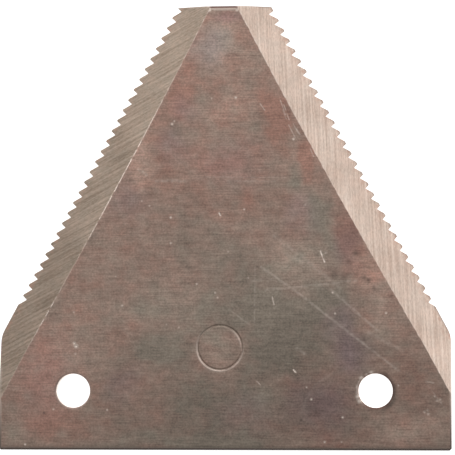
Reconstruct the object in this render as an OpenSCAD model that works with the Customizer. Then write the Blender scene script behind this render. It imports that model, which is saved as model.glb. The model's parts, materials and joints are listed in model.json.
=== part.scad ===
// Mower sickle section: one blanked and hardened steel plate with two ground
// bevels, serrated cutting edges and a pair of punched rivet holes.
// The underside lies on z = 0, the bevels face up and the tip points along +Y.
// The origin is midway between the rivet holes. All sizes are in millimetres.

/* [Plate] */
// Width across the two straight sides
plate_width = 75.95; // [70:0.05:90]
// Length from the base edge to the tip
plate_length = 74.8; // [66:0.1:90]
// Thickness of the steel
plate_thickness = 2.2; // [1.8:0.1:3]
// Width across the blunt tip
tip_width = 16; // [12:0.1:20]
// Height of the straight sides above the base edge
side_height = 19.2; // [16:0.1:24]
// Radius of the shoulder between a straight side and its cutting edge
shoulder_radius = 4.5; // [1:0.1:6]
// Chamfer on the two base corners
corner_break = 0.35; // [0.1:0.05:1]
// Radius that blanking leaves along the upper rim of the base and sides
rim_radius = 0.25; // [0.1:0.05:0.8]
// Radius that blanking leaves along the upper rim of the tip
tip_rim_radius = 0.45; // [0.1:0.05:0.8]

/* [Bevels] */
// Width of the left ground bevel at the tip, square to the cutting edge
left_bevel_width = 5.25; // [3.5:0.05:6.5]
// Width of the right ground bevel at the tip
right_bevel_width = 5.1; // [3.5:0.05:6.5]
// How much narrower the right bevel is at the shoulder than at the tip
right_bevel_taper = 0.35; // [0:0.05:1]
// How far both crests bow inwards halfway along
bevel_crown = 0.4; // [0:0.05:1]
// Thickness of steel left standing at the cutting edge
edge_land = 0.03; // [0.02:0.01:0.1]

/* [Serration] */
// Pitch of the teeth, measured along the length of the plate
tooth_pitch = 1.745; // [1.4:0.005:2.4]
// Depth of the notches in the outline, square to the cutting edge
tooth_depth = 0.95; // [0.5:0.01:1]
// Share of that depth which the right row loses from the tip to the shoulder
right_depth_loss = 0.3; // [0:0.05:0.5]
// Blunt nose of the left teeth, between neighbouring grooves
left_tooth_nose = 0.16; // [0.03:0.01:0.5]
// Blunt nose of the right teeth
right_tooth_nose = 0.32; // [0.03:0.01:0.5]
// Length over which each groove runs out on the underside
groove_length = 6.5; // [4:0.1:9]
// Distance from the tip to the first notch of the left edge
left_first_notch = 0.68; // [0.5:0.01:3]
// Distance from the tip to the first notch of the right edge
right_first_notch = 1.31; // [0.5:0.01:3]
// Plain edge kept between the last notch and the shoulder on the left
left_plain_edge = 5.6; // [2:0.1:12]
// Plain edge kept between the last notch and the shoulder on the right
right_plain_edge = 5; // [2:0.1:12]

/* [Rivet holes] */
// Distance between the centres of the two holes
hole_spacing = 50.8; // [46:0.1:56]
// Diameter of the holes
hole_diameter = 5.7; // [4:0.1:7]
// Distance from the base edge to the centres of the holes
hole_from_base = 9.9; // [7:0.1:12]
// Radius that punching leaves around the upper rim of each hole
hole_rim_radius = 0.25; // [0.1:0.05:0.8]

/* [Hidden] */
$fn = 64;

// Steps in the arc of each shoulder
shoulder_steps = 8;
// Strips along each bevel, which follow its crown
bevel_strips = 10;
// How far the cutting tools run past the faces that they cut
tool_overrun = 1;
// Brownish grey of the oiled steel
steel_color = [0.51, 0.44, 0.4];

// Places along the length, from the line through the holes
base_y = -hole_from_base;
tip_y = plate_length - hole_from_base;
shoulder_y = side_height - hole_from_base;

// Cutting edges
half_width = plate_width / 2;
half_tip = tip_width / 2;
edge_rise = tip_y - shoulder_y;
edge_angle = atan((half_width - half_tip) / edge_rise);
edge_length = edge_rise / cos(edge_angle);

// Width of a crowned bevel at a share of the way from the shoulder to the tip
function crowned(width, taper, share) =
    width - taper * (1 - share) + bevel_crown * (1 - pow(2 * share - 1, 2));

// Rise of a bevel of that width
function bevel_slope(width) = (plate_thickness - edge_land) / width;

// Height at the cutting edge of a groove that notches the outline to a depth. The groove
// runs across the plate and rises towards the edge.
function groove_height(depth, width) = (edge_land + depth * bevel_slope(width))
    / (1 - depth / (groove_length * cos(edge_angle)));

// Half width of the plate at a place on the cutting edges
function edge_x(y) = half_tip + (tip_y - y) * tan(edge_angle);

// Number of notches between the first one and the plain edge
function notch_count(first, plain) = floor((edge_rise - first - plain) / tooth_pitch) + 1;

// Points of the right shoulder, from the straight side to the cutting edge
function shoulder_arc() =
    let (centre = [half_width - shoulder_radius,
                   shoulder_y - shoulder_radius * tan(edge_angle / 2)])
    [for (i = [0:shoulder_steps])
        let (a = edge_angle * i / shoulder_steps)
        centre + shoulder_radius * [cos(a), sin(a)]];

// Outline of the right half, from the base edge up to the tip
right_outline = concat(
    [[half_width - corner_break, base_y], [half_width, base_y + corner_break]],
    shoulder_arc(),
    [[half_tip, tip_y]]);

// The same outline on the left, from the tip down to the base edge
left_outline = [for (i = [len(right_outline) - 1:-1:0]) [-right_outline[i].x, right_outline[i].y]];

// Flat blank before any grinding
module blank() {
    linear_extrude(plate_thickness)
        polygon(concat(right_outline, left_outline));
}

// Corners of the ground-away steel at a share of the way along the right edge
function bevel_section(width, taper, share) =
    let (here = crowned(width, taper, min(max(share, 0), 1)),
         drop = tool_overrun * bevel_slope(here),
         along = share * edge_length)
    [[tool_overrun, along, edge_land - drop],
     [tool_overrun, along, plate_thickness + drop],
     [-here - tool_overrun, along, plate_thickness + drop]];

// Steel ground away above the crowned bevel of the right cutting edge
module bevel_cut(width, taper) {
    run_past = plate_width / edge_length;
    shares = concat([-run_past], [for (i = [0:bevel_strips]) i / bevel_strips], [1 + run_past]);
    last = 3 * (len(shares) - 1);
    sides = [for (s = [0:3:last - 3], k = [0:2])
        let (a = s + k, b = s + (k + 1) % 3)
        each [[a, b, b + 3], [a, b + 3, a + 3]]];
    translate([half_width, shoulder_y, 0])
        rotate(edge_angle)
            polyhedron(
                points = [for (share = shares) each bevel_section(width, taper, share)],
                faces = concat([[2, 1, 0]], sides, [[last, last + 1, last + 2]]));
}

// Sliver between a sharp rim and a round one, with the rim's corner at the origin
module rim_profile(radius) {
    translate([-radius, -radius])
        difference() {
            square(radius + tool_overrun);
            circle(radius);
        }
}

// Steel rolled off the rim of the right straight side
module side_rim_cut() {
    translate([half_width, shoulder_y, plate_thickness])
        rotate([90, 0, 0])
            linear_extrude(side_height + tool_overrun)
                rim_profile(rim_radius);
}

// Steel rolled off the rim of the tip
module tip_rim_cut() {
    translate([-half_tip - tool_overrun, tip_y, plate_thickness])
        rotate([90, 0, 90])
            linear_extrude(tip_width + 2 * tool_overrun)
                rim_profile(tip_rim_radius);
}

// Steel rolled off the rim of the base
module base_rim_cut() {
    translate([half_width + tool_overrun, base_y, plate_thickness])
        rotate([90, 0, -90])
            linear_extrude(plate_width + 2 * tool_overrun)
                rim_profile(rim_radius);
}

// Punched hole on the right, with its rolled upper rim
module rivet_hole() {
    translate([hole_spacing / 2, 0, 0]) {
        translate([0, 0, -tool_overrun])
            cylinder(d = hole_diameter, h = plate_thickness + 2 * tool_overrun);
        translate([0, 0, plate_thickness])
            rotate_extrude()
                translate([hole_diameter / 2, 0])
                    mirror([1, 0])
                        rim_profile(hole_rim_radius);
    }
}

// One groove of the right edge: a vee that is deepest at the edge and runs out inwards
module groove(height, nose) {
    depth = height + tool_overrun;
    fade = atan(height / groove_length);
    flank_slope = 2 * height / (tooth_pitch - nose);
    half_mouth = depth / (flank_slope * cos(fade));
    translate([0, 0, height])
        rotate([0, -90 - fade, 0])
            translate([0, 0, -tooth_pitch - tool_overrun])
                linear_extrude(groove_length + tooth_pitch + 2 * tool_overrun)
                    polygon([[0, 0], [-depth, half_mouth], [-depth, -half_mouth]]);
}

// Row of grooves along the right edge, which lose a share of their depth on the way
module serration(first, plain, nose, loss, width, taper) {
    last = notch_count(first, plain) - 1;
    for (i = [0:last])
        let (y = tip_y - first - i * tooth_pitch,
             depth = tooth_depth * (1 - loss * i / last),
             here = crowned(width, taper, (y - shoulder_y) / edge_rise))
        translate([edge_x(y), y, 0])
            groove(groove_height(depth, here), nose);
}

module sickle_section() {
    color(steel_color)
        difference() {
            blank();
            for (side = [0, 1])
                mirror([side, 0, 0]) {
                    side_rim_cut();
                    rivet_hole();
                }
            base_rim_cut();
            tip_rim_cut();
            bevel_cut(right_bevel_width, right_bevel_taper);
            serration(right_first_notch, right_plain_edge, right_tooth_nose, right_depth_loss,
                      right_bevel_width, right_bevel_taper);
            mirror([1, 0, 0]) {
                bevel_cut(left_bevel_width, 0);
                serration(left_first_notch, left_plain_edge, left_tooth_nose, 0, left_bevel_width, 0);
            }
        }
}

sickle_section();
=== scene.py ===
"""Looks of the mower sickle section: a blanked steel plate with a brown tarnish, two ground
bevels and toothed edges, lying on a white table under soft studio light."""

import json
import math

import bmesh
import bpy
import numpy as np
from mathutils import Color, Matrix, Vector, noise
from mathutils.bvhtree import BVHTree
from mathutils.geometry import delaunay_2d_cdt


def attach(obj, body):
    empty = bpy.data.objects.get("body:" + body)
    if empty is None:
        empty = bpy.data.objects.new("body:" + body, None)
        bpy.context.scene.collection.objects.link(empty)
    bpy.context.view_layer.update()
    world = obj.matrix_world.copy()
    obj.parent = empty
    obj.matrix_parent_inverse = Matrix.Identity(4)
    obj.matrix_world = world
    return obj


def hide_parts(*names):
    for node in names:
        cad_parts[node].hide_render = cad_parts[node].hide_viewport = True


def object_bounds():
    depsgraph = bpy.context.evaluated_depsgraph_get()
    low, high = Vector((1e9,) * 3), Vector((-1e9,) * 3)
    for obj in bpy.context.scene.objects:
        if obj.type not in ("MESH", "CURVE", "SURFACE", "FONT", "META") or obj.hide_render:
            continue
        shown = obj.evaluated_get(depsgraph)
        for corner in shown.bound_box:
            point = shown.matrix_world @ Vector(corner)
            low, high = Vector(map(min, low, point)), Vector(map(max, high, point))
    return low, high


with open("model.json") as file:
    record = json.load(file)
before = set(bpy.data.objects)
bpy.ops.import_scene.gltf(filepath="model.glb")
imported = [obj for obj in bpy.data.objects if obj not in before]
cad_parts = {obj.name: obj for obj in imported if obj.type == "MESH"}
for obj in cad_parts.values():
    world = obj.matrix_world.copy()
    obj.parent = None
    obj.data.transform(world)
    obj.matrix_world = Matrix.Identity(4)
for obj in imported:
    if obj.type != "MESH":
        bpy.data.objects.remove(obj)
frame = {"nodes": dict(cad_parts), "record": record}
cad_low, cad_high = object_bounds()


def srgb(red, green, blue):
    """Linear colour of an sRGB colour given from 0 to 255."""
    linear = Color((red / 255, green / 255, blue / 255)).from_srgb_to_scene_linear()
    return (*linear, 1.0)


MM = 0.001
NODE = "sickle_section"
PIECE = "sickle_plate"

# Regions of the plate, and how the normals of its flats, bevels (X, Y and Z) and walls lean
REGIONS = ("face", "left_bevel", "right_bevel", "rim", "wall", "bore", "groove", "underside")
FLAT_NORMAL = 0.99995
BEVEL_NORMAL = (0.25, 0.1, 0.85)
WALL_NORMAL = 0.02
SHARP_ANGLE = math.radians(16)

# Holes, read from the frame, and how far their rims reach
mounts = {mount["name"]: mount for mount in frame["record"]["mounts"]}
LEFT_HOLE = Vector(mounts["left_rivet_hole"]["pos_m"])
RIGHT_HOLE = Vector(mounts["right_rivet_hole"]["pos_m"])
BORE_RADIUS = mounts["right_rivet_hole"]["dims"]["r_mm"] * MM
HOLE_REACH = 0.5 * MM

# Camera, which looks almost straight down; its focal length, image and framing are in pixels
CAMERA_DISTANCE = 400 * MM
CAMERA_YAW = math.radians(-4.7)
CAMERA_TILT = math.radians(-3.4)
CAMERA_ROLL = math.radians(0.025)
CAMERA_CLIP = 10 * MM
FOCAL_PIXELS = 2368
IMAGE_PIXELS = 455
SENSOR_WIDTH = 36
FRAMING_X = -3.0
FRAMING_Y = -0.05

# Lights: direction, distance and size in metres, and how bright each looks in a mirror
SOFTBOXES = {
    "right_softbox": ((0.66, 0.33, 0.67), 0.9, 0.75, 0.68),
    "left_softbox": ((-0.63, 0.57, 0.53), 0.42, 0.22, 0.52),
    "top_softbox": ((-0.08, 0.3, 0.95), 0.5, 0.4, 0.33),
    "back_softbox": ((0.0, 0.85, 0.53), 0.9, 0.4, 1.3),
    "left_crest_lamp": ((-0.42, 0.24, 0.88), 0.6, 0.12, 2.4),
    "right_crest_lamp": ((0.34, 0.18, 0.92), 0.6, 0.1, 1.2),
}
WORLD_LEVEL = 0.3
WORLD_COLOUR = (1.0, 0.98, 0.96, 1.0)

# White table
FLOOR_HALF = 3.0
FLOOR_DROP = 0.05 * MM
FLOOR_COLOUR = (0.85, 0.85, 0.85, 1.0)
FLOOR_ROUGHNESS = 0.9
FLOOR_GLOW_COLOUR = (1.0, 1.0, 1.0, 1.0)
FLOOR_GLOW = 0.95

# Points that carry the fine shape of each flat: spacing, rows and steps
FACE_SPACING = 0.55 * MM
BEVEL_SPACING = 0.4 * MM
CREST_STEP = 0.2 * MM
CREST_ROWS = (0.04 * MM, 0.08 * MM, 0.13 * MM)
STROKE_STEP = 0.15 * MM
STROKE_ROWS = (0.35, 0.7, 1.0, 1.4)
DING_ROWS = (0.4, 0.8, 1.3, 2.0)
DING_STEPS = 10
HOLE_ROWS = (0.08 * MM, 0.2 * MM, 0.35 * MM, 0.55 * MM, 0.8 * MM)
HOLE_STEPS = 96
RING_ROWS = (-1.4, -1.0, -0.75, -0.5, -0.25, 0.0, 0.25, 0.5, 0.75, 1.0, 1.4)
RING_STEPS = 220
TIP_ROWS = (0.06 * MM, 0.13 * MM, 0.2 * MM)
TIP_ROW_HALF = cad_high.x / 4
TIP_DEPTH = 1 * MM
TIP_CUTS = np.arange(-3.5, 3.6, 0.25)

# Gaps within which points count as one, as part of the face, or as too close
WELD_GAP = 0.001 * MM
LEVEL_GAP = 0.001 * MM
TOP_GAP = 0.002 * MM
POINT_GAP = 0.05 * MM
MERGE_GAP_IN_MM = 1e-5
SHORTEST_SQUARED = 1e-18

# Height from which new points are dropped onto the plate
RAY_HEIGHT = 2 * cad_high.z

# Rounding of the crest between the face and each bevel
CREST_RADIUS = 0.12 * MM
CREST_DROP = 0.02 * MM

# Wear and painted highlight of each crest: its least, and where along the crest it is more, how far
# and how much
CREST_WEAR_AND_HIGHLIGHT = {
    "left_bevel": (0.15, [(0.58, 0.24, 1.0), (0.21, 0.08, 0.8), (1.0, 0.45, 0.15)]),
    "right_bevel": (0.22, [(1.0, 0.6, 0.3)]),
}

# Specks along a crest, how far they differ, and the share of it that is bright at the tip
CREST_SPECKS = 85
CREST_SPECK_STRENGTH = 4.0
CREST_CORNER = 0.015

# Stamped ring in the middle of the face; its painted highlights, on the walls that face the light, are
# angle, spread, place on its wall and strength
RING_CENTRE = Vector((-0.62, 7.22)) * MM
RING_RADIUS = 3.71 * MM
RING_HALF_WIDTH = 0.26 * MM
RING_DEPTH = 0.13 * MM
# Painted highlights on the walls of the ring
RING_HIGHLIGHTS = [(-125, 100, 0.7, 0.7), (-40, 70, 0.7, 0.5), (30, 50, -0.8, 0.4), (172, 60, 0.7, 0.4)]

# Scratches: points in millimetres, half width, depth and how far they are rubbed bright
SCRATCHES = [
    ([(16.3, 23.4), (17.0, 21.5)], 0.19, 0.045, 1.0),
    ([(8.2, 15.7), (8.5, 14.4)], 0.12, 0.03, 0.9),
    ([(9.6, 48.8), (10.5, 46.3)], 0.12, 0.015, 0.42),
    ([(10.2, 48.0), (11.1, 45.4)], 0.12, 0.012, 0.38),
    ([(10.0, 47.2), (10.6, 45.6)], 0.11, 0.012, 0.3),
    ([(11.0, 44.6), (12.1, 42.4)], 0.12, 0.012, 0.42),
    ([(11.8, 44.8), (12.6, 43.1)], 0.11, 0.012, 0.38),
    ([(12.3, 43.9), (12.9, 42.9)], 0.12, 0.012, 0.45),
    ([(14.6, 40.6), (15.2, 39.2)], 0.12, 0.015, 0.45),
    ([(6.2, 48.2), (7.0, 47.1)], 0.12, 0.012, 0.4),
    ([(5.6, 1.6), (6.3, 0.9)], 0.1, 0.02, 0.6),
    ([(11.7, 3.6), (12.1, 3.1)], 0.17, 0.045, 1.0),
    ([(-0.75, 29.85), (-0.5, 29.4)], 0.18, 0.045, 1.0),
]

# Smears, which are rubbed lighter but not cut in
SMEARS = [
    ([(6.3, 20.7), (12.2, 16.6), (19.2, 11.1), (25.0, 6.6), (29.2, 3.4)], 0.3, 0.0, 0.23),
    ([(18.0, 16.9), (21.8, 13.5), (25.7, 10.1)], 0.32, 0.0, 0.21),
    ([(7.2, 16.9), (14.5, 17.5), (22.4, 18.4)], 0.34, 0.0, 0.17),
    ([(24.4, 9.6), (30.0, 6.6)], 0.5, 0.0, 0.12),
    ([(8.2, 26.2), (14.5, 21.4), (19.5, 17.0)], 0.5, 0.0, 0.13),
    ([(10.5, 22.8), (16.0, 20.4)], 0.4, 0.0, 0.1),
    ([(5.3, 20.8), (5.2, 11.4)], 0.2, 0.0, 0.12),
    ([(4.2, 18.3), (8.4, 18.6)], 0.4, 0.0, 0.1),
    ([(0.8, 13.7), (4.3, 11.1)], 0.2, 0.0, 0.14),
    ([(12.3, 7.1), (13.6, 6.2)], 0.35, 0.0, 0.2),
    ([(13.0, -3.6), (14.0, -1.0), (15.6, 1.2), (18.5, 3.0)], 0.35, 0.0, 0.07),
    ([(34.0, 1.5), (35.1, 1.3)], 0.2, 0.0, 0.25),
    ([(33.7, 1.5), (36.8, -2.8)], 0.14, 0.0, 0.14),
    ([(-11.4, 35.3), (-6.4, 35.2)], 0.4, 0.0, 0.2),
    ([(-3.0, 35.9), (10.6, 35.7)], 0.14, 0.0, 0.14),
    ([(0.5, 35.2), (8.8, 35.1)], 0.14, 0.0, 0.14),
    ([(-14.5, 37.2), (-12.9, 36.4)], 0.35, 0.0, 0.16),
]

# Uneven rubbing of scratches and smears: specks in a millimetre, and how far they differ
STROKE_SPECKS = 1.7
STROKE_SPECK_STRENGTH = 1.5
STROKE_SPECK_LIMIT = 1.5

# Dings: place in millimetres, radius and brightness
DINGS = [
    (18.3, 16.4, 0.15, 1.0), (18.7, 12.9, 0.15, 0.9), (27.2, 12.95, 0.16, 1.0),
    (3.5, 30.4, 0.14, 0.8), (13.8, 31.1, 0.13, 0.4), (-8.9, 29.1, 0.16, 1.0),
    (-8.9, 24.8, 0.15, 0.7), (-4.5, 17.9, 0.13, 0.9), (-1.4, 16.4, 0.14, 0.8),
    (-1.0, 15.6, 0.14, 0.7), (-12.5, 31.1, 0.14, 0.6), (-13.8, 31.9, 0.13, 0.5),
    (-17.1, 14.3, 0.14, 0.8), (2.1, 49.3, 0.17, 1.0), (-2.0, 49.2, 0.13, 0.5),
    (-8.7, 44.9, 0.18, 1.0), (-8.3, 45.4, 0.13, 0.7), (14.7, -1.4, 0.16, 1.0),
    (13.9, 0.6, 0.13, 0.7), (-24.9, 7.5, 0.28, 1.0), (-25.2, 8.0, 0.2, 1.0),
    (-25.0, 6.2, 0.15, 0.6), (-25.3, 13.2, 0.15, 0.5), (-28.7, -3.1, 0.14, 0.8),
    (-19.6, -3.2, 0.15, 0.8), (19.9, -4.4, 0.16, 0.9), (-33.5, -9.0, 0.15, 1.0),
    (35.6, -1.6, 0.2, 0.4), (36.1, -1.4, 0.18, 0.45), (36.2, -1.9, 0.16, 0.35),
    (33.5, -3.5, 0.2, 0.4), (34.1, -3.8, 0.2, 0.45), (34.0, -3.2, 0.16, 0.35),
    (35.2, -0.9, 0.15, 0.6), (-2.3, 64.15, 0.2, 1.0), (2.3, 64.15, 0.2, 1.0),
    (29.2, 0.9, 0.13, 0.6), (11.8, 42.2, 0.17, 1.0), (0.8, 23.3, 0.13, 0.5),
    (-18.2, 19.2, 0.13, 0.4), (-7.5, 10.6, 0.13, 0.6), (-9.6, 11.1, 0.13, 0.4),
    (16.9, -8.5, 0.15, 0.9), (19.7, -8.5, 0.13, 0.5), (-14.4, 37.3, 0.14, 0.4),
    (-13.6, 36.9, 0.14, 0.5), (-13.1, 36.2, 0.13, 0.4), (4.2, 18.9, 0.14, 0.4),
    (17.2, 23.1, 0.2, 0.3),
]
DING_DEPTH_SHARE = 0.2

# Dark spots: place in millimetres, radius and darkness
SPOTS = [
    (-30.3, -3.7, 0.25, 0.7), (13.0, -4.9, 0.3, 0.6), (23.6, 18.9, 0.55, 0.5),
    (24.3, 18.4, 0.5, 0.55), (22.2, 23.0, 0.7, 0.5), (18.5, 19.4, 0.9, 0.4),
    (21.0, 21.5, 0.6, 0.45), (25.2, 17.2, 0.5, 0.4), (20.2, 18.9, 0.7, 0.35),
]

# How far the colour of a scratch, a ding and a spot spreads, as a share of its size
STROKE_GLOW = 1.2
DING_GLOW = 2.0
SPOT_GLOW = 1.3

# Rims of the holes, with painted shade and with wear and painted highlights: angle in degrees, spread,
# reach in millimetres and strength
# Painted shade: dark crescents beside the holes, where their rolled rims turn from the light
HOLE_SHADE = [
    (LEFT_HOLE, [(150, 45, 0.3, 0.25), (215, 40, 0.25, 0.15)]),
    (RIGHT_HOLE, [
        (0, 90, 0.42, 0.62), (55, 45, 0.5, 0.5), (-45, 45, 0.65, 0.62), (-90, 50, 0.6, 0.2),
    ]),
]
# Wear and painted highlights: bright rims, with painted highlights on the left side of the right hole,
# whose rim faces the light
HOLE_WEAR_AND_HIGHLIGHT = [
    (LEFT_HOLE, [(-90, 720, 0.2, 0.35)]),
    (RIGHT_HOLE, [
        (180, 75, 0.28, 0.5), (90, 40, 0.2, 0.4),
        (138, 9, 0.45, 1.0), (150, 7, 0.3, 0.9), (168, 9, 0.36, 0.9), (186, 6, 0.36, 0.8),
        (198, 8, 0.46, 1.0), (212, 10, 0.5, 1.0), (103, 9, 0.42, 0.9), (118, 7, 0.32, 0.7),
    ]),
]
HOLE_FADE = 1.5

# Strips along the plate's rims, in millimetres from the edge, and their strengths: painted shade,
# painted highlights, a warm tint and brighter tip corners
# Painted shade along the noses of the teeth, on each side
NOSE_STRIP = 0.28
NOSE_SHADE = {"left_bevel": 0.15, "right_bevel": 0.4}
TINT_STRIP = 1.6
TIP_SPAN = 2.5
TIP_FADE = 0.5
# Painted shade: a dark line along the edge of the tip between the crests
TIP_DARK = 0.22
TIP_DARK_END = 0.3
TIP_SHADE = 0.4
# Painted highlight: a bright line a little back from the edge of the tip, on its rolled rim
TIP_BRIGHT = 0.52
TIP_BRIGHT_HALF = 0.26
TIP_HIGHLIGHT = 0.8
# Brighter corners of the tip beside the crests
CORNER_WEAR = 0.5
RIM_STRIP = 0.3
# Painted reflection: light strips along the rims of the sides
SIDE_REFLECTION = 0.5
# Painted shade: a dark strip along the rim of the base, fading over the face beyond it
BASE_SHADE = 0.9
BASE_FADE = 0.75
BASE_FADE_SHADE = 0.5

# Colours of the steel
# Rubbed steel, whose colour also paints the highlights
BARE_STEEL_AND_HIGHLIGHT = srgb(246, 230, 218)
# Grime, whose colour also paints the shade
GRIME_AND_SHADE_COLOUR = srgb(82, 73, 68)
EDGE_TINT = srgb(212, 174, 155)
VIOLET = srgb(170, 150, 152)
COOL_CAST = (0.985, 1.003, 1.008, 1.0)
WARM_CAST = (1.015, 0.997, 0.988, 1.0)
TARNISH = [
    (0.0, srgb(165, 153, 140)),
    (0.5, srgb(178, 154, 141)),
    (1.0, srgb(183, 144, 130)),
]

# Rubbed steel and painted highlights are smoother, and soiled steel and painted shade are less of a
# mirror
STEEL_SPECULAR = 0.15
BARE_POLISH = 0.12
SOIL_AND_SHADE_DULLING = 0.8

# Noises: cycles in a millimetre along X, Y and Z, detail, roughness, and a shift where one is needed
NOISES = {
    "drift": ((0.14, 0.14, 0.14), 3.0, 0.5),
    "cloud": ((0.17, 0.17, 0.17), 2.0, 0.5),
    "mottle": ((0.4, 0.48, 1.0), 2.2, 0.5),
    "shade": ((0.55, 0.75, 1.0), 2.5, 0.6, (7.0, 3.0, 0.0)),
    "streak": ((0.26, 4.6, 1.0), 2.0, 0.6),
    "grain": ((3.0, 3.2, 1.0), 1.5, 0.6),
    "upright": ((4.0, 0.4, 1.0), 1.0, 0.5),
    "ground_line": ((0.08, 2.9, 0.0), 1.0, 0.5),
    "ground_grain": ((1.6, 4.64, 0.0), 2.0, 0.7),
    "ground_cloud": ((0.25, 0.25, 0.25), 3.0, 0.55),
    "cast": ((0.5, 0.5, 0.5), 2.0, 0.6),
    "blotch": ((1.1, 1.1, 1.1), 2.0, 0.6),
    "tear": ((4.0, 4.0, 0.6), 3.0, 0.6),
    "dirt": ((0.8, 0.8, 0.8), 3.0, 0.6),
    "ragged": ((1.4, 1.4, 0.2), 3.0, 0.6),
    "old_tarnish": ((0.17, 0.17, 0.17), 4.0, 0.55),
}
NOISE_MIDDLE = 0.5

# Face and underside, brushed across the plate: a level, and how far each noise sways it
FACE_HUE = (0.5, {"cloud": 0.7, "mottle": 0.9})
FACE_BROAD = (1.0, {"cloud": 0.2})
FACE_CLOSE = (1.0, {"shade": 0.6, "streak": 0.75, "grain": 0.8, "upright": 0.15})
UNDERSIDE_HUE = (0.4, {"old_tarnish": 2.0, "mottle": 0.9})
UNDERSIDE_LEVEL = (0.95, {"old_tarnish": 0.5, "streak": 0.75, "grain": 0.8})
BRUSHED_ROUGHNESS = (0.44, {"streak": 0.2, "mottle": 0.1})
BRUSHED_HEIGHT = (0.0, {"streak": 1.0, "grain": 0.5})
BRUSHED_METAL = 0.9
BRUSHED_BUMP = 0.01 * MM

# Change of the face towards the tip: where it starts and ends in millimetres, and its two levels
REDDER_TO_TIP = (15.0, 45.0, 0.0, 0.15)
# Painted light: the face is lighter towards the tip and darker towards the base
LIGHTER_TO_TIP = (-12.0, 62.0, -0.1, 0.06)

# Tarnish of the face: redder, greener, violet, lighter and darker patches, drawn out of shape
PATCH_DRIFT = (6.0, 6.0, 0.0)
HUE_CONTRAST = 1.2
RED_PATCHES = [
    (0.2, 63.0, 4.5, 1.7, 0.3), (-6.5, 50.5, 4, 8, 0.35), (8.8, 46, 3.5, 7, 0.7),
    (-10.5, 43, 3, 8, 0.22), (14, 38.7, 3, 6, 0.55), (1.4, 38.2, 9, 3, 0.3),
    (-13.5, 38, 4, 7, 0.1), (0, 32, 11, 3.5, 0.2), (20.5, 26, 4.5, 8, 0.55),
    (23.7, 20.2, 4, 6, 0.35), (-30.3, 3, 8, 13, 0.43), (28.3, 14, 4, 7, 0.12),
    (17, -2, 8, 6, 0.12), (31, 1, 6, 8, 0.25), (29.5, 9, 4, 8, 0.1), (-28, -5, 7, 4, 0.25),
    (18, -8.2, 10, 3, 0.2), (-4.3, 26, 5, 4, 0.2), (2.7, 21, 5, 4, 0.15),
]
GREEN_PATCHES = [
    (-1.8, 58, 5.5, 5, 0.6), (5.5, 42.6, 2.5, 6, 0.25), (12.6, 35.5, 3, 5, 0.5),
    (15.6, 30, 3.5, 6, 0.6), (18, 24, 3.5, 5, 0.4), (-4, 25.5, 10, 5, 0.3), (2.7, 21, 10, 5, 0.3),
    (-10, 14, 11, 5, 0.3), (12.8, 22, 6, 5, 0.3), (9, 14, 11, 8, 0.4), (17.5, 15, 6, 7, 0.4),
    (12, 8, 10, 7, 0.4), (-9, 6, 7, 5, 0.4), (6.4, 5, 8, 6, 0.3), (-3, -2, 12, 6, 0.35),
    (8, -2, 9, 6, 0.4), (0, -8.5, 22, 4, 0.5), (7.5, 20.5, 7, 5, 0.25), (-2, 12.5, 8, 8, 0.25),
    (6, 14, 8, 7, 0.25), (-11, 7, 6, 4, 0.25), (-0.6, 7.2, 4.5, 4.5, 0.2),
    (-0.5, 59.3, 6, 3.2, 0.15), (-9, 15.5, 9, 4.5, 0.08), (-15, -9, 24, 2.5, 0.1),
    (-13.5, 38.5, 3, 6, 0.2), (-6.8, 42.6, 4, 3.5, 0.25), (0.2, 32.3, 5, 3.5, 0.25),
    (-35, -6.7, 3.5, 4, 0.35),
]
VIOLET_PATCHES = [
    (-2.5, 58, 6, 5, 0.4), (21.6, 6, 5, 5, 0.7), (17, -2.5, 8, 7, 0.6), (-6, 47.5, 4, 4, 0.3),
    (-8.5, 41, 4, 4, 0.3), (13, 30, 4, 5, 0.3), (4, -4, 9, 5, 0.2), (20.5, 25, 4, 7, 0.3),
    (1, 38, 10, 6, 0.2), (19.4, 10.5, 4, 6, 0.5), (-16.4, 1.4, 5, 5, 0.3), (-15.8, 32, 5, 5, 0.3),
    (0.2, 63, 4.5, 2, 0.4), (-30, 2, 8, 12, 0.16),
]
LIGHT_PATCHES = [
    (-1.2, 58.5, 6.5, 7, 0.29), (0.2, 47.3, 5, 5, 0.18), (-14.2, 40.0, 3, 8, 0.36),
    (12.8, 22, 8, 6, 0.28), (23.8, 20, 4.5, 6, 0.3), (27, 12, 6, 6, 0.2), (-29, 4, 12, 16, 0.28),
    (-11, 14, 13, 8, 0.17), (-23, 12, 8, 8, 0.06), (1, 24, 8, 6, 0.05), (26, 17, 3, 7, 0.15),
    (3.6, 55.2, 3, 4, 0.08), (0.2, 32.3, 5, 3.5, 0.08), (-20.8, 22, 4, 5, 0.1),
    (14, 38.7, 3, 4, 0.08), (-17.4, -8, 8, 3, 0.08), (-0.6, 7.2, 5, 5, 0.22),
    (30, -6.7, 9, 4.5, 0.28), (36, -6, 5, 6, 0.1), (-35, -7, 6, 5, 0.15), (0, -9.5, 45, 4, 0.1),
    (8, -2, 8, 6, 0.1),
]
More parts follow.
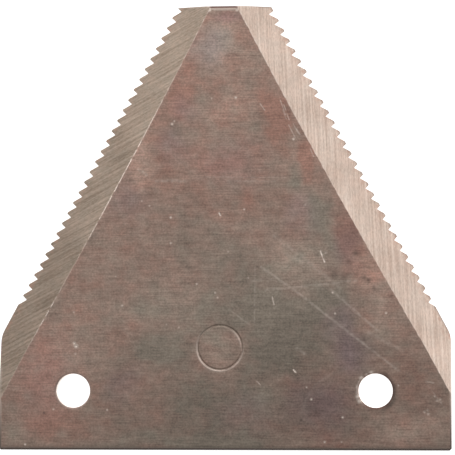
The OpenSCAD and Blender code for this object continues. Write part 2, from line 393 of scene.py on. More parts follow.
DARK_PATCHES = [
    (6, -8, 40, 13, 0.13), (15, -1, 14, 11, 0.17), (21, 26.5, 5, 7, 0.12), (5.9, 43, 3.5, 6, 0.08),
    (8.8, 46, 4, 6, 0.05), (0, 32, 14, 4.5, 0.1), (12.5, 8, 8, 7, 0.12), (6.4, 5, 6, 6, 0.1),
    (21.6, 6.5, 4.5, 5, 0.16), (19.4, 10.5, 4, 6, 0.1), (34.7, -3.2, 4, 4, 0.1),
    (-3, -1.6, 7, 5, 0.06), (-16.4, 1.4, 6, 5, 0.05), (-3.1, 55.2, 3, 3, 0.1),
    (2.7, 21, 5, 4, 0.1), (31, 1, 4, 5, 0.07), (17, -2.5, 6, 5, 0.06), (-15, 32, 5, 4, 0.06),
    (-7.8, 42.6, 4, 5, 0.1), (-9.8, 37.0, 4, 5, 0.08), (-4.3, 26, 5, 4, 0.06),
]

# Lighter and darker patches of each bevel
LEFT_TONES = [
    (-9.5, 58, 6, 10, 0.1), (-18, 38, 6, 10, -0.06), (-27, 22, 8, 17, -0.1), (-30, 14, 5, 8, -0.03),
    (-36.5, 6, 4, 6, 0.1),
]
RIGHT_TONES = [
    (8, 60, 6, 9, 0.06), (11, 54, 5, 6, 0.02), (25, 27, 6, 7, 0.01), (30, 18, 5, 7, -0.05),
    (36, 6, 5, 6, 0.07),
]

# Ground bevels: dark and light steel, angle of the lines from the width, their contrast, and patches;
# the left bevel's steel is darker than the right's as painted shade
# Painted shade: the left bevel's colours are darker than the right bevel's
SHADED_LEFT_GROUND = (srgb(163, 144, 127), srgb(219, 199, 182), 27, 1.35, LEFT_TONES)
RIGHT_GROUND = (srgb(196, 170, 154), srgb(248, 228, 214), 93, 1.3, RIGHT_TONES)
GROUND_SHARE = (0.5, {"ground_cloud": 0.7})
GROUND_ROUGHNESS = (0.36, {"ground_grain": 0.15})
GROUND_HEIGHT = (0.0, {"ground_line": 1.0, "ground_grain": 0.4})
GROUND_METAL = 0.95
GROUND_BUMP = 0.02 * MM
CAST_STEP = (0.35, 0.65)
BLOTCH_STEP = (0.45, 0.7)

# Rims, bores and grooves: dark and light steel, roughness and how metallic they are; the bores are
# lightened beyond the steel's own tone as a painted highlight
ROLLED_RIM = (srgb(122, 90, 82), srgb(168, 130, 117), 0.42, 0.9)
LIT_PUNCHED_BORE = (srgb(225, 216, 206), srgb(250, 246, 240), 0.3, 1.0)
GROUND_GROOVE = (srgb(140, 126, 112), srgb(200, 184, 170), 0.4, 0.95)
DRAWN_SHARE = (0.5, {"tear": 1.2, "dirt": 0.8})
DIRT_ROUGHNESS = {"dirt": 0.2}
DRAWN_BUMP = 0.02 * MM

# Sheared walls: dark and light of the torn and of the smooth steel, both darkened beyond the steel's
# own tone as painted shade, and the height between them
SHADED_TORN_STEEL = (srgb(52, 46, 43), srgb(96, 85, 78))
SHADED_SHEARED_STEEL = (srgb(116, 104, 96), srgb(158, 144, 134))
SHEAR_LINE = (1.25, 1.45)
SHEAR_RAGGED = (0.0, {"ragged": 0.9})
SHEAR_POLISH = 0.22
SHEAR_TEAR = 0.3
WALL_ROUGHNESS = 0.65
WALL_METAL = 0.75
WALL_BUMP = 0.04 * MM


def smooth_fall(share):
    """1 at the middle and 0 from a share of 1 outwards, with a soft shoulder."""
    rest = np.clip(1 - np.asarray(share, float), 0, 1)
    return rest * rest * (3 - 2 * rest)


def fading(value, full, gone):
    """1 up to one value and 0 from another, with a straight slope between them."""
    return np.clip((gone - value) / (gone - full), 0, 1)


def along(points, step):
    """Points at even steps along a line of corner points."""
    found = []
    for start, end in zip(points[:-1], points[1:]):
        start, end = np.array(start), np.array(end)
        count = max(1, round(np.linalg.norm(end - start) / step))
        found += [start + (end - start) * i / count for i in range(count)]
    return np.array(found + [np.array(points[-1])])


def segment_distance(spots, points):
    """Distance of each spot from a line of corner points."""
    best = np.full(len(spots), np.inf)
    for start, end in zip(points[:-1], points[1:]):
        start, end = np.array(start), np.array(end)
        line = end - start
        share = np.clip((spots - start) @ line / max(line @ line, SHORTEST_SQUARED), 0, 1)
        best = np.minimum(best, np.linalg.norm(spots - start - share[:, None] * line, axis=1))
    return best


def inside(spots, edges):
    """Whether each spot lies inside the closed loops that the edges make."""
    odd = np.zeros(len(spots), bool)
    x, y = spots.T
    for (x0, y0), (x1, y1) in edges:
        if y0 == y1:
            continue
        crossing = (y0 > y) != (y1 > y)
        odd ^= crossing & (x < x0 + (y - y0) * (x1 - x0) / (y1 - y0))
    return odd


def edge_distance(spots, edges):
    """Distance of each spot from the nearest of the edges."""
    best = np.full(len(spots), np.inf)
    for start, end in edges:
        best = np.minimum(best, segment_distance(spots, [start, end]))
    return best


def turn_from(local, middle):
    """Angle in degrees between each direction and a middle one."""
    angle = np.degrees(np.arctan2(local[:, 1], local[:, 0]))
    return np.abs((angle - middle + 180) % 360 - 180)


def lattice(low, high, spacing):
    """Staggered rows of points that cover a rectangle."""
    rows = np.arange(low[1], high[1], spacing * math.sin(math.radians(60)))
    columns = np.arange(low[0], high[0], spacing)
    return np.array([(x + spacing / 2 * (i % 2), y) for i, y in enumerate(rows) for x in columns])


def thinned(spots, gap):
    """The spots without those that lie within a gap of an earlier one."""
    cells = {}
    kept = []
    for spot in spots:
        cell = (math.floor(spot[0] / gap), math.floor(spot[1] / gap))
        near = [cells.get((cell[0] + i, cell[1] + j)) for i in (-1, 0, 1) for j in (-1, 0, 1)]
        if any(n is not None and np.hypot(*(n - spot)) < gap for n in near):
            continue
        cells[cell] = spot
        kept.append(spot)
    return np.array(kept)


def stroke_points(points, half_width):
    """Points on a scratch, in rows beside it, and past its two ends."""
    points = [np.array(p) for p in points]
    spots = [along(points, STROKE_STEP)]
    first = (points[0] - points[1]) / np.linalg.norm(points[0] - points[1])
    last = (points[-1] - points[-2]) / np.linalg.norm(points[-1] - points[-2])
    for row in STROKE_ROWS:
        for start, end in zip(points[:-1], points[1:]):
            line = (end - start) / np.linalg.norm(end - start)
            side = np.array((-line[1], line[0])) * row * half_width
            spots += [along([start + side, end + side], STROKE_STEP),
                      along([start - side, end - side], STROKE_STEP)]
        spots += [[points[0] + first * row * half_width], [points[-1] + last * row * half_width]]
    return np.concatenate(spots)


def circle_points(centre, radius, count):
    """Points at even steps around a circle."""
    angles = np.arange(count) * 2 * math.pi / count
    return np.array(centre) + radius * np.stack([np.cos(angles), np.sin(angles)], axis=1)


def ding_points(x, y, radius):
    """Rings of points around a ding or a spot."""
    centre = (x * MM, y * MM)
    rings = [circle_points(centre, share * radius * MM, DING_STEPS) for share in DING_ROWS]
    return np.concatenate([[centre]] + rings)


def in_metres(points):
    """Points given in millimetres, turned into metres."""
    return [(x * MM, y * MM) for x, y in points]


def plate_middle():
    """Middle of the plate's length, on the table."""
    return Vector((0, (cad_low.y + cad_high.y) / 2, 0))


def face_corners():
    """Points of the CAD mesh that lie on the face."""
    return [v.co for v in frame["nodes"][NODE].data.vertices if v.co.z > cad_high.z - LEVEL_GAP]


def hole_rim_radius(hole):
    """Radius at which the rolled rim of a hole meets the face."""
    return min((corner.xy - hole.xy).length for corner in face_corners())


def tip_rim_end():
    """Place along the length at which the rolled rim of the tip meets the face."""
    return max(corner.y for corner in face_corners())


def face_points():
    """Points of the face that carry the ring, the scratches, the dings and the rims."""
    spots = [circle_points(RING_CENTRE, RING_RADIUS + row * RING_HALF_WIDTH, RING_STEPS)
             for row in RING_ROWS]
    for points, half_width, _, _ in SCRATCHES + SMEARS:
        spots.append(stroke_points(in_metres(points), half_width * MM))
    spots += [ding_points(x, y, radius) for x, y, radius, _ in DINGS + SPOTS]
    for hole in (LEFT_HOLE, RIGHT_HOLE):
        rim = hole_rim_radius(hole)
        spots += [circle_points(hole.xy, rim + row, HOLE_STEPS) for row in HOLE_ROWS]
    for row in TIP_ROWS:
        y = tip_rim_end() - row
        spots.append(along([(-TIP_ROW_HALF, y), (TIP_ROW_HALF, y)], CREST_STEP))
    return np.concatenate(spots)


def region_of(face):
    """Name of the region of the plate that a face of its mesh belongs to."""
    normal = face.normal
    middle = face.calc_center_median().xy
    hole_gap = min((middle - hole.xy).length for hole in (LEFT_HOLE, RIGHT_HOLE))
    by_hole = hole_gap < BORE_RADIUS + HOLE_REACH
    least_x, least_y, least_z = BEVEL_NORMAL
    if normal.z > FLAT_NORMAL:
        return "face"
    if normal.z < -FLAT_NORMAL:
        return "underside"
    if normal.z > least_z and abs(normal.x) > least_x and normal.y > least_y and not by_hole:
        return "right_bevel" if normal.x > 0 else "left_bevel"
    if normal.z > WALL_NORMAL:
        return "rim"
    if normal.z > -WALL_NORMAL:
        return "bore" if by_hole else "wall"
    return "groove"


def regions(bm):
    """Faces of each region, in the order of the mesh."""
    found = {}
    for face in bm.faces:
        found.setdefault(region_of(face), []).append(face)
    return found


def load_plate():
    """The CAD node's mesh with its seams welded."""
    bm = bmesh.new()
    bm.from_mesh(frame["nodes"][NODE].data)
    bmesh.ops.remove_doubles(bm, verts=bm.verts, dist=WELD_GAP)
    bm.normal_update()
    return bm


def split_crests(bm):
    """Gives the two crests a row of close points, and returns the line of each."""
    lines = {}
    for side in ("left_bevel", "right_bevel"):
        found = regions(bm)
        face = set(found["face"])
        edges = [e for f in found[side] for e in f.edges if any(g in face for g in e.link_faces)]
        ends = {v for e in edges for v in e.verts}
        lines[side] = sorted((np.array(v.co.xy) for v in ends), key=lambda place: place[1])
        for edge in edges:
            cuts = int(edge.calc_length() / CREST_STEP)
            if cuts:
                bmesh.ops.subdivide_edges(bm, edges=[edge], cuts=cuts)
    return lines


def slice_tip_rim(bm):
    """Cuts the rolled rim of the tip into short lengths."""
    for x in TIP_CUTS:
        rim = [f for f in regions(bm)["rim"] if f.calc_center_median().y > cad_high.y - TIP_DEPTH]
        parts = list({part for f in rim for part in (f, *f.edges, *f.verts)})
        bmesh.ops.bisect_plane(bm, geom=parts, plane_co=(x * MM, 0, 0), plane_no=(1, 0, 0))


def outline_of(bm, faces):
    """Edges around some faces, in the order of the mesh."""
    bm.edges.index_update()
    members = set(faces)
    around = {e for f in faces for e in f.edges if sum(g in members for g in e.link_faces) == 1}
    return sorted(around, key=lambda e: e.index)


def retile(bm, faces, spots, surface):
    """Replaces faces by triangles over the given spots, with the same outline and surface."""
    outline = outline_of(bm, faces)
    corners = list(dict.fromkeys(v for e in outline for v in e.verts))
    index = {v: i for i, v in enumerate(corners)}
    edges = [tuple(np.array(v.co.xy) for v in e.verts) for e in outline]
    spots = spots[inside(spots, edges)]
    spots = spots[edge_distance(spots, edges) > POINT_GAP]
    material = faces[0].material_index
    flat = [v.co.xy / MM for v in corners] + [Vector(s) / MM for s in spots]
    links = [(index[e.verts[0]], index[e.verts[1]]) for e in outline]
    made, _, triangles, origins, _, _ = delaunay_2d_cdt(flat, links, [], 0, MERGE_GAP_IN_MM, True)
    middles = np.array([sum((made[i] for i in t), Vector((0, 0))) / 3 for t in triangles]) * MM
    triangles = [t for t, kept in zip(triangles, inside(middles, edges)) if kept]
    bmesh.ops.delete(bm, geom=faces, context="FACES")
    placed = {i: corners[ids[0]] for i, ids in enumerate(origins) if ids and ids[0] < len(corners)}
    for i in sorted({i for t in triangles for i in t} - set(placed)):
        x, y = made[i] * MM
        hit = surface.ray_cast(Vector((x, y, RAY_HEIGHT)), Vector((0, 0, -1)))
        placed[i] = bm.verts.new((x, y, min(hit[0].z, cad_high.z)))
    for triangle in triangles:
        ring = [placed[i] for i in triangle]
        area = (ring[1].co.xy - ring[0].co.xy).cross(ring[2].co.xy - ring[0].co.xy)
        face = bm.faces.new(ring if area > 0 else ring[::-1])
        face.material_index = material


def crest_points(line):
    """Rows of points on both sides of a crest."""
    run = (line[-1] - line[0]) / np.linalg.norm(line[-1] - line[0])
    side = np.array((-run[1], run[0]))
    offsets = [side * row * sign for row in CREST_ROWS for sign in (-1, 1)]
    return np.concatenate([along([p + offset for p in line], CREST_STEP) for offset in offsets])


def build_mesh():
    """The CAD mesh with finer triangles on its face and bevels, and the lines of its crests."""
    bm = load_plate()
    surface = BVHTree.FromBMesh(bm)
    slice_tip_rim(bm)
    crests = split_crests(bm)
    crest_spots = np.concatenate([crest_points(line) for line in crests.values()])
    low, high = np.array(cad_low.xy), np.array(cad_high.xy)
    for name, faces in regions(bm).items():
        for face in faces:
            face.material_index = REGIONS.index(name)
    fine = {
        "face": [crest_spots, face_points(), lattice(low, high, FACE_SPACING)],
        "left_bevel": [crest_spots, lattice(low, high, BEVEL_SPACING)],
        "right_bevel": [crest_spots, lattice(low, high, BEVEL_SPACING)],
    }
    for name, spots in fine.items():
        retile(bm, regions(bm)[name], thinned(np.concatenate(spots), POINT_GAP), surface)
    bm.normal_update()
    return bm, crests


def crest_rubbing_and_glint(side, share):
    """How far a crest is rubbed bright and painted with a highlight at each share of its length from
    the base.
    """
    least, stretches = CREST_WEAR_AND_HIGHLIGHT[side]
    level = np.full(len(share), least)
    for middle, reach, more in stretches:
        level += more * smooth_fall(np.abs(share - middle) / reach)
    row = REGIONS.index(side)
    specks = np.array([noise.noise(Vector((s * CREST_SPECKS, row, 0.0))) for s in share])
    corner = smooth_fall(np.abs(share - 1) / CREST_CORNER)
    return np.clip(level * (1 + CREST_SPECK_STRENGTH * specks) + corner, 0, 1)


def crest_marks(places, crests):
    """How far the two crests are rounded off, and how far they are rubbed bright and painted with a
    highlight.
    """
    flat = places[:, :2]
    upper = places[:, 2] > cad_high.z / 2
    drop = np.zeros(len(places))
    bare_and_highlight = np.zeros(len(places))
    for side, line in crests.items():
        gap = segment_distance(flat, line) / CREST_RADIUS
        near = (gap < 1) & upper
        share = (flat[near, 1] - line[0][1]) / (line[-1][1] - line[0][1])
        drop[near] += CREST_DROP * (1 - gap[near]) ** 2
        bare_and_highlight[near] = np.maximum(bare_and_highlight[near], crest_rubbing_and_glint(side, share) * smooth_fall(gap[near]))
    return drop, bare_and_highlight


def painted_ring_highlight(flat):
    """Painted highlights on the walls of the stamped ring that face the light."""
    local = flat - np.array(RING_CENTRE)
    offset = (np.linalg.norm(local, axis=1) - RING_RADIUS) / RING_HALF_WIDTH
    result = np.zeros(len(flat))
    for middle, spread, wall, strength in RING_HIGHLIGHTS:
        stretch = smooth_fall(turn_from(local, middle) / spread)
        result = np.maximum(result, strength * stretch * smooth_fall(np.abs(offset - wall)))
    return result


def stroke_specks(flat):
    """How unevenly the scratches and smears are rubbed, around 1 at each place."""
    level = np.array([noise.noise(Vector((x, y, 0.0)) * STROKE_SPECKS) for x, y in flat / MM])
    return np.clip(1 + STROKE_SPECK_STRENGTH * level, 0, STROKE_SPECK_LIMIT)


def spot_gap(flat, x, y, radius):
    """Distance of each place from the middle of a ding or a spot, in its radii."""
    return np.linalg.norm(flat - np.array((x, y)) * MM, axis=1) / (radius * MM)


def pressed_marks(flat):
    """Depth of the ring, the scratches, the smears and the dings, the painted highlights of the ring,
    and how bright the others are rubbed.
    """
    ring_gap = np.abs(np.linalg.norm(flat - np.array(RING_CENTRE), axis=1) - RING_RADIUS)
    drop = RING_DEPTH * smooth_fall(ring_gap / RING_HALF_WIDTH)
    bare_and_highlight = painted_ring_highlight(flat)
    rubbed = stroke_specks(flat)
    for points, half_width, depth, bright in SCRATCHES + SMEARS:
        gap = segment_distance(flat, in_metres(points)) / (half_width * MM)
        drop += depth * MM * smooth_fall(gap)
        bare_and_highlight = np.maximum(bare_and_highlight, bright * rubbed * smooth_fall(gap / STROKE_GLOW))
    for x, y, radius, bright in DINGS:
        gap = spot_gap(flat, x, y, radius)
        drop += DING_DEPTH_SHARE * radius * MM * smooth_fall(gap)
        bare_and_highlight = np.maximum(bare_and_highlight, bright * smooth_fall(gap / DING_GLOW))
    return drop, bare_and_highlight


def dark_spots(flat):
    """How far each place is darkened by the spots."""
    return np.maximum.reduce([
        darkness * smooth_fall(spot_gap(flat, x, y, radius) / SPOT_GLOW)
        for x, y, radius, darkness in SPOTS])


def around_holes(flat, marks):
    """Strength of the marks on the rims of the holes at each place: painted shade, wear and painted
    highlights.
    """
    result = np.zeros(len(flat))
    for hole, strokes in marks:
        local = flat - np.array(hole.xy)
        reach = (np.linalg.norm(local, axis=1) - BORE_RADIUS) / MM
        for middle, spread, width, strength in strokes:
            near = fading(reach / width, 1, HOLE_FADE)
            stretch = smooth_fall(turn_from(local, middle) / spread)
            result = np.maximum(result, strength * stretch * near)
    return result


def rim_marks(places):
    """Painted highlights and painted shade along the upper rims of the plate, and brighter tip
    corners.
    """
    x, y, z = places.T
    upper = z > cad_high.z / 2
    from_tip = (cad_high.y - y) / MM
    from_base = (y - cad_low.y) / MM
    from_side = np.minimum(x - cad_low.x, cad_high.x - x) / MM
    between = upper * fading(np.abs(x) / MM, TIP_SPAN - TIP_FADE, TIP_SPAN)
    bare_and_highlight = np.maximum.reduce([
        TIP_HIGHLIGHT * between * smooth_fall(np.abs(from_tip - TIP_BRIGHT) / TIP_BRIGHT_HALF),
        CORNER_WEAR * (upper - between) * (from_tip < TIP_DARK_END),
        SIDE_REFLECTION * upper * (from_side < RIM_STRIP)])
    soil_and_painted_shade = np.maximum.reduce([
        TIP_SHADE * between * fading(from_tip, TIP_DARK, TIP_DARK_END),
        BASE_SHADE * upper * (from_base < RIM_STRIP),
        BASE_FADE_SHADE * upper * fading(from_base, RIM_STRIP, BASE_FADE)])
    return bare_and_highlight, soil_and_painted_shade


def cutting_edge(side):
    """Line of the cutting edge of one side, from its shoulder to the tip."""
    sign = 1 if side == "right_bevel" else -1
    verts = [v.co for v in frame["nodes"][NODE].data.vertices]
    tip = max(sign * v.x for v in verts if v.y > cad_high.y - LEVEL_GAP)
    low_half = [v for v in verts if v.y < plate_middle().y]
    flare = max((sign * v.x - tip) / (cad_high.y - v.y) for v in low_half)
    shoulder = cad_high.y - (cad_high.x - tip) / flare
    return [np.array((sign * cad_high.x, shoulder)), np.array((sign * tip, cad_high.y))]


def edge_marks(flat):
    """Painted shade on the dull noses of the teeth, and the warm tint beside the cutting edges."""
    soil_and_painted_shade = np.zeros(len(flat))
    tint = np.zeros(len(flat))
    for side, strength in NOSE_SHADE.items():
        gap = segment_distance(flat, cutting_edge(side)) / MM
        soil_and_painted_shade = np.maximum(soil_and_painted_shade, strength * smooth_fall(gap / NOSE_STRIP))
        tint = np.maximum(tint, smooth_fall(gap / TINT_STRIP))
    return soil_and_painted_shade, tint


def shape_details(bm, crests):
    """Presses the fine shape into the plate and notes where it is rubbed, soiled or tinted, and where
    highlights and shade are painted.
    """
    verts = list(bm.verts)
    places = np.array([v.co for v in verts])
    flat = places[:, :2]
    top = places[:, 2] > cad_high.z - TOP_GAP
    crest_drop, crest_bright = crest_marks(places, crests)
    pressed_drop, pressed_bright = pressed_marks(flat)
    rim_bright, rim_shade = rim_marks(places)
    nose_shade, tint = edge_marks(flat)
    for v, z in zip(verts, crest_drop + top * pressed_drop):
        v.co.z -= z
    hole_bright, hole_shade = around_holes(flat, HOLE_WEAR_AND_HIGHLIGHT), around_holes(flat, HOLE_SHADE)
    bare_and_highlight = np.maximum.reduce([crest_bright, top * pressed_bright, hole_bright, rim_bright])
    soil_and_painted_shade = np.maximum.reduce([hole_shade, top * dark_spots(flat), rim_shade, nose_shade])
    return {"rubbed_and_highlight": bare_and_highlight, "soiling_and_shade": soil_and_painted_shade, "edge_tint": tint}


class Shader:
    """A new material, with one short call for each kind of node."""

    def __init__(self, name):
        self.material = bpy.data.materials.new(name)
        self.material.use_nodes = True
        self.tree = self.material.node_tree
        self.tree.nodes.clear()
        self.output = self.tree.nodes.new("ShaderNodeOutputMaterial")
        self.noises = {}

    def feed(self, socket, value):
        """Links a socket to another one, or sets it to a constant."""
        if isinstance(value, bpy.types.NodeSocket):
            self.tree.links.new(value, socket)
        else:
            socket.default_value = value

    def node(self, kind, inputs=(), **settings):
        made = self.tree.nodes.new(kind)
        for name, value in settings.items():
            setattr(made, name, value)
        for name, value in dict(inputs).items():
            self.feed(made.inputs[name], value)
        return made

    def millimetres(self):
        """Place on the plate in millimetres."""
        place = self.node("ShaderNodeTexCoord").outputs["Object"]
        return self.scaled(place, (1 / MM,) * 3)

    def vector(self, operation, a, b):
        return self.node("ShaderNodeVectorMath", {0: a, 1: b}, operation=operation).outputs[0]

    def scaled(self, vector, factors):
        return self.vector("MULTIPLY", vector, factors)

    def shifted(self, vector, offset):
        return self.vector("ADD", vector, offset)

    def turned(self, vector, degrees):
        """The place seen from axes turned about Z."""
        inputs = {"Vector": vector, "Angle": math.radians(-degrees)}
        return self.node("ShaderNodeVectorRotate", inputs, rotation_type="Z_AXIS").outputs[0]

    def axis(self, vector, name):
        return self.node("ShaderNodeSeparateXYZ", {0: vector}).outputs[name]

    def math(self, operation, a, b, clamp=False):
        inputs = {0: a, 1: b}
        return self.node("ShaderNodeMath", inputs, operation=operation, use_clamp=clamp).outputs[0]

    def noise(self, place, name, output="Fac"):
        """One of the noises at a place, made once for each material."""
        if name not in self.noises:
            scales, detail, roughness, *shifts = NOISES[name]
            vector = self.scaled(place, scales)
            for shift in shifts:
                vector = self.shifted(vector, shift)
            inputs = {"Vector": vector, "Scale": 1.0, "Detail": detail, "Roughness": roughness}
            self.noises[name] = self.node("ShaderNodeTexNoise", inputs)
        return self.noises[name].outputs[output]

    def sway(self, place, settings):
        """A level that noises sway up and down, each by its own amount."""
        result, amounts = settings
        for name, amount in amounts.items():
            centred = self.math("SUBTRACT", self.noise(place, name), NOISE_MIDDLE)
            result = self.math("ADD", result, self.math("MULTIPLY", centred, amount))
        return result

    def total(self, *values):
        result = values[0]
        for value in values[1:]:
            result = self.math("ADD", result, value)
        return result

    def band(self, value, low, high, to_low=0.0, to_high=1.0):
        """A soft step of a value from one level to another."""
        inputs = {"Value": value, "From Min": low, "From Max": high,
                  "To Min": to_low, "To Max": to_high}
        return self.node("ShaderNodeMapRange", inputs, interpolation_type="SMOOTHSTEP").outputs[0]

    def mix(self, share, a, b):
        """A colour between two, with the share kept from 0 to 1."""
        inputs = {0: share, 6: a, 7: b}
        return self.node("ShaderNodeMix", inputs, data_type="RGBA", clamp_factor=True).outputs[2]

    def ramp(self, value, stops):
        made = self.node("ShaderNodeValToRGB", {"Fac": value})
        elements = made.color_ramp.elements
        while len(elements) < len(stops):
            elements.new(1.0)
        for element, (place, colour) in zip(elements, stops):
            element.position = place
            element.color = colour
        return made.outputs["Color"]

    def tone(self, colour, level):
        """A colour made lighter or darker by a level around 1."""
        inputs = {0: colour, "Scale": level}
        return self.node("ShaderNodeVectorMath", inputs, operation="SCALE").outputs[0]

    def attribute(self, name):
        return self.node("ShaderNodeAttribute", attribute_name=name).outputs["Fac"]

    def patches(self, place, ovals):
        """Sum of soft oval patches: centre and radii in millimetres, and strength."""
        result = 0.0
        for x, y, radius_x, radius_y, strength in ovals:
            local = self.shifted(place, (-x, -y, 0.0))
            local = self.scaled(local, (1 / radius_x, 1 / radius_y, 0.0))
            reach = self.node("ShaderNodeVectorMath", {0: local}, operation="LENGTH").outputs["Value"]
            result = self.math("ADD", self.band(reach, 0.0, 1.0, strength, 0.0), result)
        return result

    def bump(self, height, distance):
        return self.node("ShaderNodeBump", {"Height": height, "Distance": distance}).outputs[0]

    def finish(self, **inputs):
        named = {name.replace("_", " "): value for name, value in inputs.items()}
        surface = self.node("ShaderNodeBsdfPrincipled", named)
        self.tree.links.new(surface.outputs[0], self.output.inputs[0])
        return self.material

    def finish_worn_and_painted(self, colour, metallic, roughness, normal):
        """Steel that is bright and smooth where it is rubbed clean and where highlights are painted,
        and dull where it is soiled and where shade is painted.
        """
        bare_and_highlight, soil_and_painted_shade = self.attribute("rubbed_and_highlight"), self.attribute("soiling_and_shade")
        dulled = self.math("MULTIPLY", soil_and_painted_shade, SOIL_AND_SHADE_DULLING)
        polish = self.math("MULTIPLY", bare_and_highlight, BARE_POLISH)
        return self.finish(
            Base_Color=self.mix(soil_and_painted_shade, self.mix(bare_and_highlight, colour, BARE_STEEL_AND_HIGHLIGHT), GRIME_AND_SHADE_COLOUR),
            Metallic=self.math("SUBTRACT", metallic, dulled, clamp=True),
            Roughness=self.math("SUBTRACT", roughness, polish),
            Specular_IOR_Level=STEEL_SPECULAR, Normal=normal)


def face_material():
    """Rolled steel with a patchy brown tarnish, brushed across the plate."""
    shader = Shader("tarnished_face")
    place = shader.millimetres()
    length = shader.axis(place, "Y")
    drift = shader.shifted(shader.noise(place, "drift", "Color"), (-NOISE_MIDDLE,) * 3)
    warped = shader.shifted(place, shader.scaled(drift, PATCH_DRIFT))
    red, green, violet, light, dark = (shader.patches(warped, patches) for patches in (
        RED_PATCHES, GREEN_PATCHES, VIOLET_PATCHES, LIGHT_PATCHES, DARK_PATCHES))
    redder = shader.math("MULTIPLY", shader.math("SUBTRACT", red, green), HUE_CONTRAST)
    hue = shader.total(shader.sway(place, FACE_HUE), redder, shader.band(length, *REDDER_TO_TIP))
    tarnish = shader.mix(violet, shader.ramp(hue, TARNISH), VIOLET)
    lighter = shader.math("SUBTRACT", light, dark)
    # The broad level carries painted light, lighter towards the tip
    broad = shader.total(shader.sway(place, FACE_BROAD), lighter, shader.band(length, *LIGHTER_TO_TIP))
    level = shader.math("MULTIPLY", broad, shader.sway(place, FACE_CLOSE))
    roughness = shader.sway(place, BRUSHED_ROUGHNESS)
    normal = shader.bump(shader.sway(place, BRUSHED_HEIGHT), BRUSHED_BUMP)
    return shader.finish_worn_and_painted(shader.tone(tarnish, level), BRUSHED_METAL, roughness, normal)


def underside_material():
    """Rolled steel with an even brown tarnish, brushed across the plate."""
    shader = Shader("underside_face")
    place = shader.millimetres()
    tarnish = shader.ramp(shader.sway(place, UNDERSIDE_HUE), TARNISH)
    return shader.finish(
        Base_Color=shader.tone(tarnish, shader.sway(place, UNDERSIDE_LEVEL)),
        Metallic=BRUSHED_METAL, Roughness=shader.sway(place, BRUSHED_ROUGHNESS),
        Specular_IOR_Level=STEEL_SPECULAR,
        Normal=shader.bump(shader.sway(place, BRUSHED_HEIGHT), BRUSHED_BUMP))


def bevel_material(name, dark, light, angle, contrast, tones):
    """Steel ground at an angle from the plate's width, in lines of uneven depth."""
    shader = Shader(name)
    place = shader.millimetres()
    turned = shader.turned(place, angle)
    lines = shader.sway(turned, (0.0, {"ground_line": contrast, "ground_grain": contrast}))
    ground = shader.mix(shader.total(lines, shader.sway(place, GROUND_SHARE)), dark, light)
    ground = shader.tone(ground, shader.math("ADD", shader.patches(place, tones), 1.0))
    cast = shader.band(shader.noise(place, "cast"), *CAST_STEP)
    ground = shader.scaled(ground, shader.mix(cast, COOL_CAST, WARM_CAST))
    blotch = shader.band(shader.noise(place, "blotch"), *BLOTCH_STEP)
    tint = shader.math("MULTIPLY", blotch, shader.attribute("edge_tint"))
    roughness = shader.sway(turned, GROUND_ROUGHNESS)
    normal = shader.bump(shader.sway(turned, GROUND_HEIGHT), GROUND_BUMP)
    return shader.finish_worn_and_painted(shader.mix(tint, ground, EDGE_TINT), GROUND_METAL, roughness, normal)


def edge_material(name, dark, light, roughness, metallic, with_marks):
    """Steel with lines drawn through the thickness, which may be rubbed and soiled and carry painted
    highlights and painted shade.
    """
    shader = Shader(name)
    place = shader.millimetres()
    colour = shader.mix(shader.sway(place, DRAWN_SHARE), dark, light)
    rough = shader.sway(place, (roughness, DIRT_ROUGHNESS))
    normal = shader.bump(shader.noise(place, "tear"), DRAWN_BUMP)
    if with_marks:
        return shader.finish_worn_and_painted(colour, metallic, rough, normal)
    return shader.finish(Base_Color=colour, Metallic=metallic, Roughness=rough, Normal=normal)


def wall_material():
    """Sheared steel, darkened beyond its own tone as painted shade: a smooth band below the upper rim,
    and torn metal under a ragged line.
    """
    shader = Shader("shaded_sheared_wall")
    place = shader.millimetres()
    height = shader.total(shader.axis(place, "Z"), shader.sway(place, SHEAR_RAGGED))
    smooth = shader.band(height, *SHEAR_LINE)
    share = shader.sway(place, DRAWN_SHARE)
    colour = shader.mix(smooth, shader.mix(share, *SHADED_TORN_STEEL), shader.mix(share, *SHADED_SHEARED_STEEL))
    polish = shader.math("MULTIPLY", smooth, SHEAR_POLISH)
    rough = shader.math("SUBTRACT", shader.sway(place, (WALL_ROUGHNESS, DIRT_ROUGHNESS)), polish)
    depth = shader.band(smooth, 0.0, 1.0, 1.0, SHEAR_TEAR)
    tears = shader.math("MULTIPLY", shader.noise(place, "tear"), depth)
    return shader.finish(Base_Color=colour, Metallic=WALL_METAL, Roughness=rough,
                         Normal=shader.bump(tears, WALL_BUMP))


def plate_materials():
    """Material of each region of the plate."""
    return {
        "face": face_material(),
        "left_bevel": bevel_material("shaded_left_ground_bevel", *SHADED_LEFT_GROUND),
        "right_bevel": bevel_material("right_ground_bevel", *RIGHT_GROUND),
        "rim": edge_material("rolled_rim", *ROLLED_RIM, with_marks=True),
        "wall": wall_material(),
        "bore": edge_material("lit_punched_bore", *LIT_PUNCHED_BORE, with_marks=True),
        "groove": edge_material("ground_groove", *GROUND_GROOVE, with_marks=False),
        "underside": underside_material(),
    }


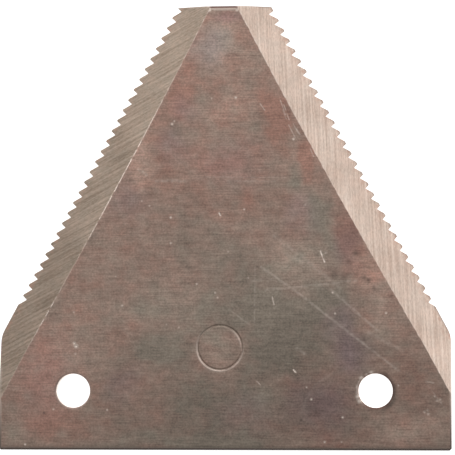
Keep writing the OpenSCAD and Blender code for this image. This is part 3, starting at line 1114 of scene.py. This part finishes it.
def add_plate():
    """The finished plate, which stands for the CAD node."""
    bm, crests = build_mesh()
    layers = shape_details(bm, crests)
    for edge in bm.edges:
        edge.smooth = len(edge.link_faces) == 2 and edge.calc_face_angle(0.0) < SHARP_ANGLE
    for face in bm.faces:
        face.smooth = True
    mesh = bpy.data.meshes.new(PIECE)
    bm.to_mesh(mesh)
    bm.free()
    for name, values in layers.items():
        layer = mesh.attributes.new(name, "FLOAT", "POINT")
        layer.data.foreach_set("value", np.clip(values, 0, 1).astype(np.float32))
    plate = bpy.data.objects.new(PIECE, mesh)
    bpy.context.scene.collection.objects.link(plate)
    made = plate_materials()
    for name in REGIONS:
        mesh.materials.append(made[name])
    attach(plate, "root")
    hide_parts(NODE)


def add_floor():
    """Plain white table under the plate."""
    mesh = bpy.data.meshes.new("floor")
    height = cad_low.z - FLOOR_DROP
    corners = [(-FLOOR_HALF, -FLOOR_HALF), (FLOOR_HALF, -FLOOR_HALF),
               (FLOOR_HALF, FLOOR_HALF), (-FLOOR_HALF, FLOOR_HALF)]
    mesh.from_pydata([(x, y, height) for x, y in corners], [], [(0, 1, 2, 3)])
    floor = bpy.data.objects.new("floor", mesh)
    bpy.context.scene.collection.objects.link(floor)
    mesh.materials.append(Shader("white_table").finish(
        Base_Color=FLOOR_COLOUR, Roughness=FLOOR_ROUGHNESS,
        Emission_Color=FLOOR_GLOW_COLOUR, Emission_Strength=FLOOR_GLOW))


def add_world():
    """Even, faintly warm light from all around."""
    world = bpy.data.worlds.new("studio")
    world.use_nodes = True
    background = world.node_tree.nodes["Background"]
    background.inputs["Color"].default_value = WORLD_COLOUR
    background.inputs["Strength"].default_value = WORLD_LEVEL
    bpy.context.scene.world = world


def add_softbox(name, direction, distance, size, radiance):
    """Square area light that faces the plate and looks equally bright from everywhere in front."""
    light = bpy.data.lights.new(name, "AREA")
    light.shape = "SQUARE"
    light.size = size
    light.energy = radiance * math.pi * size * size
    lamp = bpy.data.objects.new(name, light)
    bpy.context.scene.collection.objects.link(lamp)
    back = Vector(direction).normalized()
    lamp.location = plate_middle() + back * distance
    lamp.rotation_mode = "QUATERNION"
    lamp.rotation_quaternion = (-back).to_track_quat("-Z", "Y")
    lamp.visible_camera = False


def add_camera():
    """Camera above the plate, framed as in the photo."""
    turn = (Matrix.Rotation(CAMERA_ROLL, 3, "Z") @ Matrix.Rotation(CAMERA_TILT, 3, "X")
            @ Matrix.Rotation(CAMERA_YAW, 3, "Y"))
    axes = turn.transposed()
    place = plate_middle() + axes.col[2] * CAMERA_DISTANCE
    data = bpy.data.cameras.new("camera")
    data.sensor_width = SENSOR_WIDTH
    data.lens = SENSOR_WIDTH * FOCAL_PIXELS / IMAGE_PIXELS
    data.shift_x = -FRAMING_X / IMAGE_PIXELS
    data.shift_y = FRAMING_Y / IMAGE_PIXELS
    data.clip_start = CAMERA_CLIP
    camera = bpy.data.objects.new("camera", data)
    bpy.context.scene.collection.objects.link(camera)
    camera.matrix_world = Matrix.Translation(place) @ axes.to_4x4()
    bpy.context.scene.camera = camera


add_camera()
add_world()
for softbox, settings in SOFTBOXES.items():
    add_softbox(softbox, *settings)
add_floor()
add_plate()
bpy.context.scene.view_settings.view_transform = "Standard"
